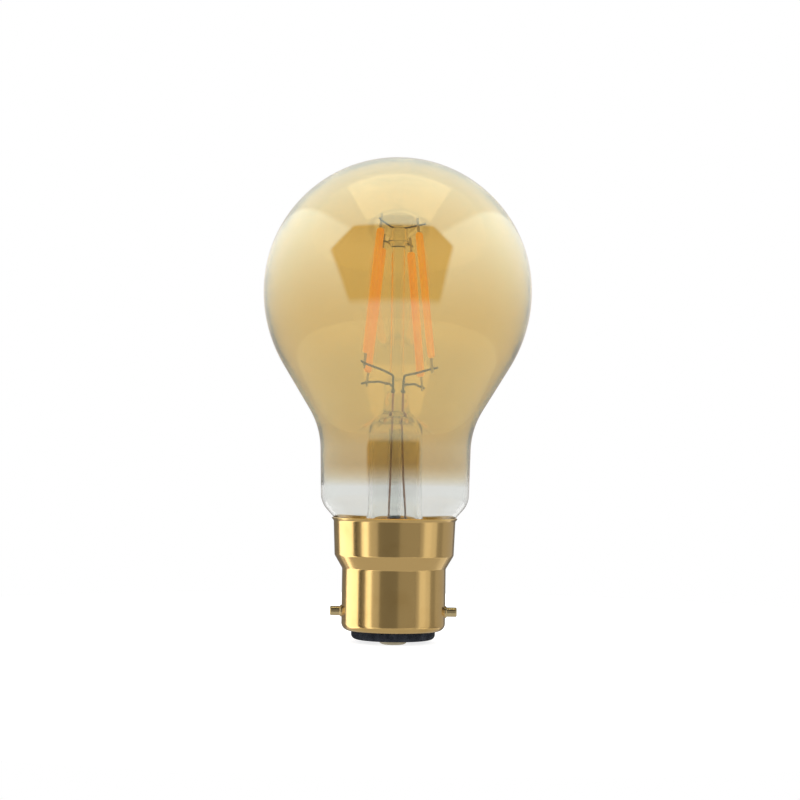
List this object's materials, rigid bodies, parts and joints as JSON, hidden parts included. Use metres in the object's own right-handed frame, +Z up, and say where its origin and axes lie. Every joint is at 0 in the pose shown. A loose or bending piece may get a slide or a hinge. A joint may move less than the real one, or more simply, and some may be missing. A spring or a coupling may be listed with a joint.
{
  "type": "smart light bulb",
  "caption": "Rounded amber glass filament lamp on a metal bayonet cap, with upright glowing strips on a glass stem and a radio-controlled driver hidden in the cap.",
  "frame": {"origin": "on the lamp's axis, in the plane of the two solder contacts at the bottom of the cap", "axes": "+Z up the lamp's axis from the cap to the top of the glass, +X along the two bayonet pins, front at -Y"},
  "size_m": [0.0574, 0.0574, 0.1032],
  "materials": {
    "cap_brass": "brushed lacquered",
    "pin_brass": "plain turned",
    "black_glass": "fused glossy",
    "solder": "smooth domed",
    "cement": "cured rough",
    "liner": "moulded",
    "amber_glass": "amber coated, clear at the neck",
    "clear_glass": "clear",
    "nickel_wire": "drawn, dulled",
    "copper": "drawn copper",
    "phosphor": "translucent silicone",
    "led_die": "polished",
    "chip_ceramic": "sintered",
    "board": "lacquered laminate",
    "moulded_black": "moulded",
    "can_aluminium": "drawn",
    "bung_rubber": "moulded",
    "tinned_wire": "tinned",
    "ferrite": "sintered",
    "resistor_body": "lacquered",
    "wire_insulation": "extruded"
  },
  "bodies": {
    "root": {"arbor_rod": "clear_glass", "base_insulator": "black_glass", "bayonet_pin_left": "pin_brass", "bayonet_pin_right": "pin_brass", "board_passives": "chip_ceramic", "bridge_rectifier": "moulded_black", "cap_cement": "cement", "cap_liner": "liner", "cap_shell": "cap_brass", "capacitor_bung": "bung_rubber", "capacitor_can": "can_aluminium", "capacitor_leads": "tinned_wire", "choke_core": "ferrite", "choke_winding": "copper", "contact_eyelet_back": "pin_brass", "contact_eyelet_front": "pin_brass", "driver_board": "board", "driver_chip": "moulded_black", "exhaust_tube": "clear_glass", "filament_coat_back_left": "phosphor", "filament_coat_back_right": "phosphor", "filament_coat_front_left": "phosphor", "filament_coat_front_right": "phosphor", "filament_substrate_back_left": "chip_ceramic", "filament_substrate_back_right": "chip_ceramic", "filament_substrate_front_left": "chip_ceramic", "filament_substrate_front_right": "chip_ceramic", "filament_tabs_back_left": "nickel_wire", "filament_tabs_back_right": "nickel_wire", "filament_tabs_front_left": "nickel_wire", "filament_tabs_front_right": "nickel_wire", "fusible_resistor": "resistor_body", "glass_button": "clear_glass", "glass_envelope": "amber_glass", "glass_stem": "clear_glass", "lead_wire_back_left": "nickel_wire", "lead_wire_back_right": "nickel_wire", "lead_wire_front_left": "nickel_wire", "lead_wire_front_right": "nickel_wire", "led_chips_back_left": "led_die", "led_chips_back_right": "led_die", "led_chips_front_left": "led_die", "led_chips_front_right": "led_die", "module_header": "moulded_black", "outer_lead_left": "copper", "outer_lead_right": "copper", "radio_aerial": "copper", "radio_board": "board", "radio_chip": "moulded_black", "seal_wire_left": "copper", "seal_wire_right": "copper", "shield_can": "tinned_wire", "solder_contact_back": "solder", "solder_contact_front": "solder", "supply_wire_back": "wire_insulation", "supply_wire_front": "wire_insulation", "top_wire_back": "nickel_wire", "top_wire_front": "nickel_wire", "weld_knots": "nickel_wire"}
  },
  "joints": []
}
